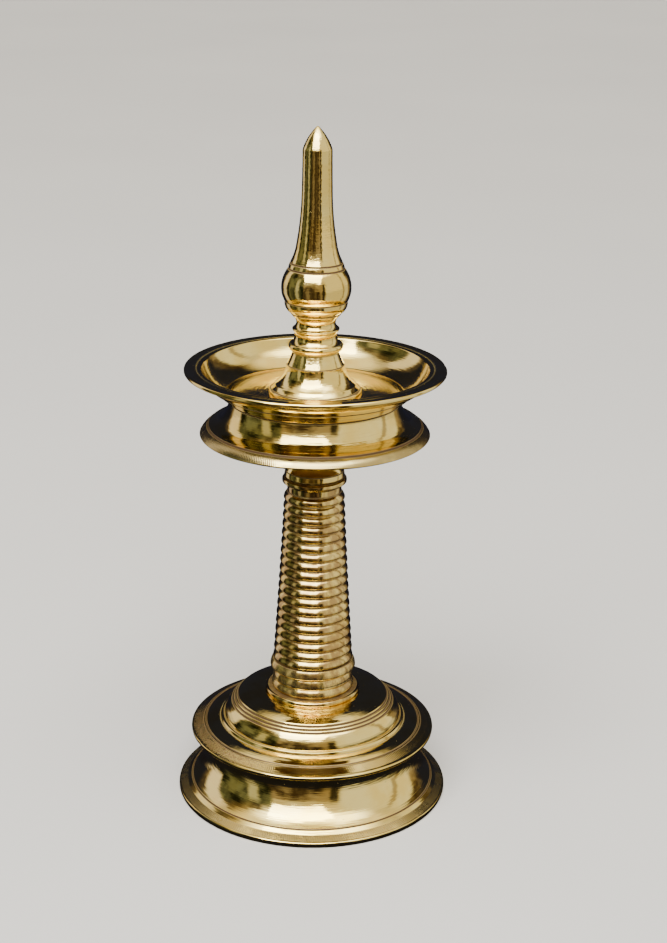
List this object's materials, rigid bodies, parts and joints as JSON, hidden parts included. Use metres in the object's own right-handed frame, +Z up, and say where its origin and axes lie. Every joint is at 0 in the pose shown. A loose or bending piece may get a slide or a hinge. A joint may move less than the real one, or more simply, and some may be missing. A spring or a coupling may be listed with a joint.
{
  "type": "oil lamp",
  "caption": "Standing brass oil lamp with a flared foot, ringed column, round oil dish over a skirt, and a pointed finial.",
  "frame": {"origin": "centre of the circle on which the foot stands", "axes": "+Z up along the lamp's axis; X and Y are free, because every section is turned round Z"},
  "size_m": [0.1228, 0.1228, 0.3035],
  "materials": {
    "brass_foot": "hand polished cast brass, lathe lines",
    "brass_disc": "hand polished cast brass, scored rings",
    "brass_column": "hand polished cast brass, turned rings",
    "brass_skirt": "hand polished cast brass, chattered lip",
    "brass_dish": "hand polished cast brass, turned rim",
    "brass_finial": "hand polished solid brass",
    "stud_brass": "cut thread, unpolished",
    "seal_leather": "oiled leather washer"
  },
  "bodies": {
    "foot": {"foot": "brass_foot"},
    "base_disc": {"base_disc": "brass_disc"},
    "column_stud": {"column_stud": "stud_brass"},
    "column": {"column": "brass_column"},
    "hub_stud": {"hub_stud": "stud_brass"},
    "skirt": {"skirt": "brass_skirt"},
    "oil_dish": {"oil_dish": "brass_dish", "oil_seal": "seal_leather"},
    "finial_stud": {"finial_stud": "stud_brass"},
    "finial": {"finial": "brass_finial"}
  },
  "joints": [
    {"name": "disc_lift", "type": "slide", "parent": "foot", "child": "base_disc", "axis": [0, 0, 1], "range_m": [0, 0.022]},
    {"name": "column_rise", "type": "slide", "parent": "base_disc", "child": "column_stud", "axis": [0, 0, 1], "range_m": [0, 0.018]},
    {"name": "column_turn", "type": "hinge", "parent": "column_stud", "child": "column", "pos_m": [0, 0, 0.05], "axis": [0, 0, 1], "range_deg": [0, 3240]},
    {"name": "head_rise", "type": "slide", "parent": "column", "child": "hub_stud", "axis": [0, 0, 1], "range_m": [0, 0.014]},
    {"name": "head_turn", "type": "hinge", "parent": "hub_stud", "child": "skirt", "pos_m": [0, 0, 0.151], "axis": [0, 0, 1], "range_deg": [0, 2520]},
    {"name": "dish_lift", "type": "slide", "parent": "skirt", "child": "oil_dish", "axis": [0, 0, 1], "range_m": [0, 0.02]},
    {"name": "finial_rise", "type": "slide", "parent": "oil_dish", "child": "finial_stud", "axis": [0, 0, 1], "range_m": [0, 0.018]},
    {"name": "finial_turn", "type": "hinge", "parent": "finial_stud", "child": "finial", "pos_m": [0, 0, 0.19], "axis": [0, 0, 1], "range_deg": [0, 3240]}
  ],
  "couplings": [
    {"joint": "column_rise", "follows": "column_turn", "m_per_rad": 0.00031831},
    {"joint": "head_rise", "follows": "head_turn", "m_per_rad": 0.00031831},
    {"joint": "finial_rise", "follows": "finial_turn", "m_per_rad": 0.00031831}
  ]
}
